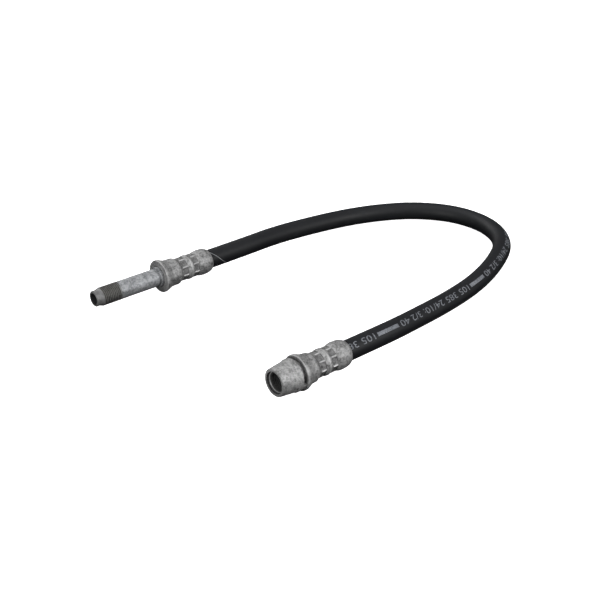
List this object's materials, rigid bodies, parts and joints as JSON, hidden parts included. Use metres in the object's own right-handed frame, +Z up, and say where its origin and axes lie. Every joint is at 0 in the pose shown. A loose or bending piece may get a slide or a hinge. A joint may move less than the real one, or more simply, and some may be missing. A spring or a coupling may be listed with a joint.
{
  "type": "hydraulic hose assembly",
  "caption": "Braided rubber hydraulic hose bent in a wide loop, with a threaded male fitting and a threaded female fitting crimped on its ends.",
  "frame": {"origin": "on the resting surface, under the middle of the box that holds the two fittings with their ferrules", "axes": "+Z up; +X along both fittings, from their open ends towards the loop of the hose; +Y from the female fitting to the male fitting"},
  "size_m": [0.2385, 0.1424, 0.018],
  "materials": {
    "plated_steel": "zinc-plated, satin, slightly mottled",
    "crimped_steel": "zinc-plated, satin, marked by the crimping jaws",
    "cover_rubber": "satin black rubber with faint marks",
    "lining_rubber": "matte",
    "braid_textile": "braided polyester yarn",
    "cushion_rubber": "matte"
  },
  "bodies": {
    "root": {"male_fitting": "plated_steel", "male_ferrule": "crimped_steel", "female_fitting": "plated_steel", "female_ferrule": "crimped_steel", "hose_lining": "lining_rubber", "inner_braid": "braid_textile", "cushion_layer": "cushion_rubber", "outer_braid": "braid_textile", "outer_cover": "cover_rubber"}
  },
  "joints": []
}
